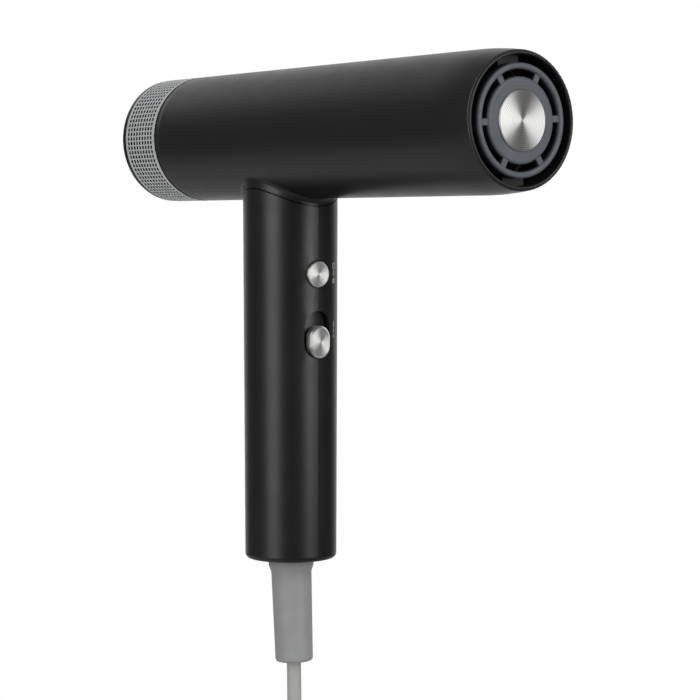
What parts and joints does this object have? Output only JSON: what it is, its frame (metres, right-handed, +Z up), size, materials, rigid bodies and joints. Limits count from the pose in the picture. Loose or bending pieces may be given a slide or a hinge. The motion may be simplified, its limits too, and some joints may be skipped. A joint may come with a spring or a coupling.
{
  "type": "hair dryer",
  "caption": "Hand-held hair dryer with a straight round barrel, a round handle with a push button and a slide switch, a slide-off rear filter and a coiled mains lead.",
  "frame": {"origin": "on the handle's axis at the middle of the grip, 105 mm below the barrel's axis", "axes": "+X along the barrel, the way the air leaves; +Z up along the handle towards the barrel; +Y completes the right-handed set, and XZ is the plane of symmetry"},
  "size_m": [0.2446, 0.0564, 0.4762],
  "materials": {
    "matte_black": "soft-touch matt black",
    "dark_plastic": "fine satin",
    "slot_plastic": "matt",
    "grille_grey": "satin blue-grey",
    "spun_metal": "turned, fine rings",
    "mica": "mica sheet",
    "heating_alloy": "oxidised wire",
    "steel": "plain",
    "core_steel": "stacked sheets",
    "motor_aluminium": "as cast",
    "copper": "enamelled copper",
    "magnet": "nickel plated",
    "fan_plastic": "satin",
    "soft_rubber": "matt",
    "perforated_metal": "punched and satin",
    "fine_mesh": "woven",
    "circuit_board": "solder mask",
    "capacitor_sleeve": "shrink sleeve",
    "switch_plastic": "plain",
    "wire_red": "insulation",
    "wire_white": "insulation",
    "wire_brown": "insulation",
    "grey_rubber": "matt grey",
    "grey_cord": "smooth grey jacket",
    "grey_plug": "moulded grey",
    "tie_strap": "woven strap",
    "pin_brass": "nickel-dull brass"
  },
  "bodies": {
    "dryer": {"barrel_shell": "matte_black", "handle_shell": "matte_black", "outlet_duct": "dark_plastic", "outlet_grille": "grille_grey", "outlet_disc": "spun_metal", "heater_sleeve": "mica", "heater_frame": "mica", "heater_wire": "heating_alloy", "thermal_cutout": "steel", "thermal_fuse": "steel", "motor_housing": "motor_aluminium", "motor_end_plate": "motor_aluminium", "rear_bearing": "steel", "front_bearing": "steel", "stator_core": "core_steel", "stator_windings": "copper", "rear_motor_mount": "soft_rubber", "front_motor_mount": "soft_rubber", "intake_cage": "dark_plastic", "handle_chassis": "dark_plastic", "handle_base_cap": "matte_black", "cord_clamp": "dark_plastic", "clamp_screws": "steel", "base_screws": "steel", "control_board": "circuit_board", "capacitor": "capacitor_sleeve", "power_module": "motor_aluminium", "switch_bracket": "dark_plastic", "tact_switch": "switch_plastic", "slide_switch": "switch_plastic", "neck_grommet": "soft_rubber", "motor_wires": "wire_red", "heater_wires": "wire_white", "supply_wires": "wire_brown", "strain_relief": "grey_rubber", "cord_lead": "grey_cord", "cord_tail": "grey_cord", "cord_coil": "grey_cord", "cord_tie": "tie_strap", "plug_body": "grey_plug", "plug_pins": "pin_brass"},
    "filter_cover": {"filter_band": "perforated_metal", "filter_mesh": "fine_mesh", "filter_end_cap": "matte_black"},
    "power_button": {"button_cap": "spun_metal", "button_plunger": "dark_plastic", "tact_nub": "switch_plastic"},
    "speed_slider": {"slider_knob": "spun_metal", "slider_carriage": "slot_plastic", "switch_lever": "switch_plastic"},
    "fan": {"impeller": "fan_plastic", "motor_shaft": "steel", "rotor_magnet": "magnet"}
  },
  "joints": [
    {"name": "filter_cover_slide", "type": "slide", "parent": "dryer", "child": "filter_cover", "axis": [-1, 0, 0], "range_m": [0, 0.03]},
    {"name": "power_button_press", "type": "slide", "parent": "dryer", "child": "power_button", "axis": [-1, 0, 0], "range_m": [0, 0.0007], "stiffness_N_per_m": 2000, "springref_m": -0.0005},
    {"name": "speed_slider_slide", "type": "slide", "parent": "dryer", "child": "speed_slider", "axis": [0, 0, 1], "range_m": [0, 0.006]},
    {"name": "fan_spin", "type": "hinge", "parent": "dryer", "child": "fan", "pos_m": [-0.04, 0, 0.105], "axis": [1, 0, 0], "continuous": true}
  ]
}
